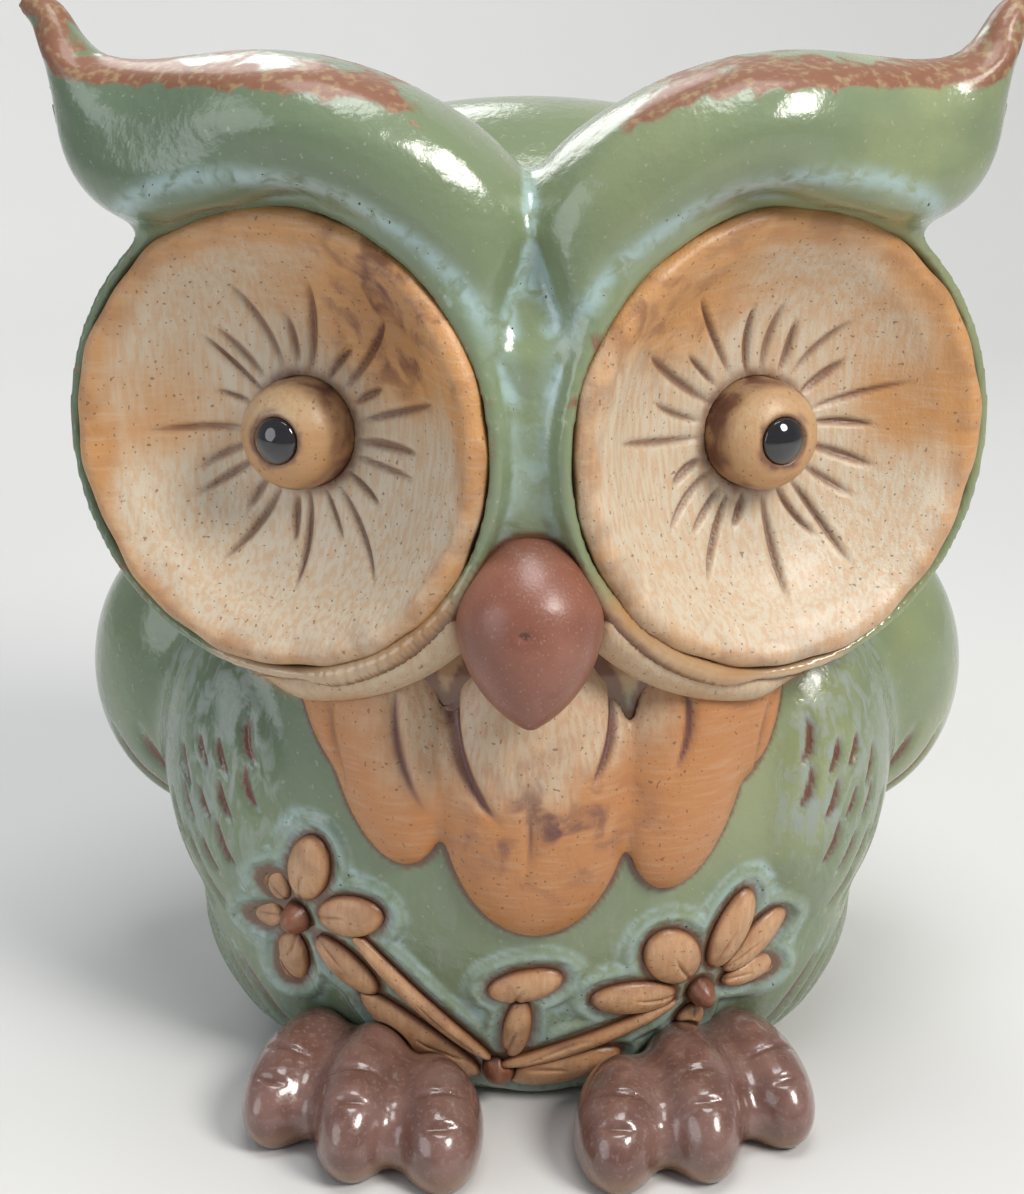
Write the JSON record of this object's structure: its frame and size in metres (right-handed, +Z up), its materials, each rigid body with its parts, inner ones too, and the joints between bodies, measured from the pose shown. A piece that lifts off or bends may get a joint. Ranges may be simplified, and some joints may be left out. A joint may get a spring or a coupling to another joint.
{
  "type": "owl figurine",
  "caption": "Standing glazed ceramic owl with wide inlaid eye dishes, upswept ear tufts, layered breast feathers and relief flowers on a sprig above its feet.",
  "frame": {"origin": "on the floor under the middle of the casting's foot ring, midway between the two sides", "axes": "+Z up, -Y the way the owl looks, +X the owl's own left"},
  "size_m": [0.1736, 0.1523, 0.2014],
  "materials": {
    "sage_glaze": "glossy, mottled",
    "dish_cream": "satin, brushed wash",
    "eye_ochre": "satin",
    "pupil_glaze": "glossy",
    "beak_brown": "satin",
    "breast_amber": "satin, brushed wash",
    "foot_umber": "glossy, mottled",
    "flower_peach": "satin",
    "flower_russet": "satin"
  },
  "bodies": {
    "root": {"beak": "beak_brown", "bib_feather_centre": "breast_amber", "bib_feather_far_left": "breast_amber", "bib_feather_far_right": "breast_amber", "bib_feather_left": "breast_amber", "bib_feather_right": "breast_amber", "body_shell": "sage_glaze", "left_ear_brow": "sage_glaze", "left_eye_cup": "sage_glaze", "left_eye_dish": "dish_cream", "left_eyeball": "eye_ochre", "left_flower_centre": "flower_russet", "left_flower_petal_1": "flower_peach", "left_flower_petal_2": "flower_peach", "left_flower_petal_3": "flower_peach", "left_flower_petal_4": "flower_peach", "left_flower_petal_5": "flower_peach", "left_flower_petal_6": "flower_peach", "left_foot": "foot_umber", "left_haunch": "sage_glaze", "left_mantle": "sage_glaze", "left_pupil": "pupil_glaze", "left_ruff": "dish_cream", "left_wing": "sage_glaze", "nose_bridge": "sage_glaze", "right_ear_brow": "sage_glaze", "right_eye_cup": "sage_glaze", "right_eye_dish": "dish_cream", "right_eyeball": "eye_ochre", "right_flower_centre": "flower_russet", "right_flower_petal_1": "flower_peach", "right_flower_petal_2": "flower_peach", "right_flower_petal_3": "flower_peach", "right_flower_petal_4": "flower_peach", "right_flower_petal_5": "flower_peach", "right_flower_petal_6": "flower_peach", "right_foot": "foot_umber", "right_haunch": "sage_glaze", "right_mantle": "sage_glaze", "right_pupil": "pupil_glaze", "right_ruff": "dish_cream", "right_wing": "sage_glaze", "sprig_bud": "flower_peach", "sprig_bud_stalk": "flower_peach", "sprig_knot": "flower_russet", "sprig_left_leaf": "flower_peach", "sprig_left_stalk": "flower_peach", "sprig_right_leaf": "flower_peach", "sprig_right_stalk": "flower_peach", "tail": "sage_glaze"}
  },
  "joints": []
}
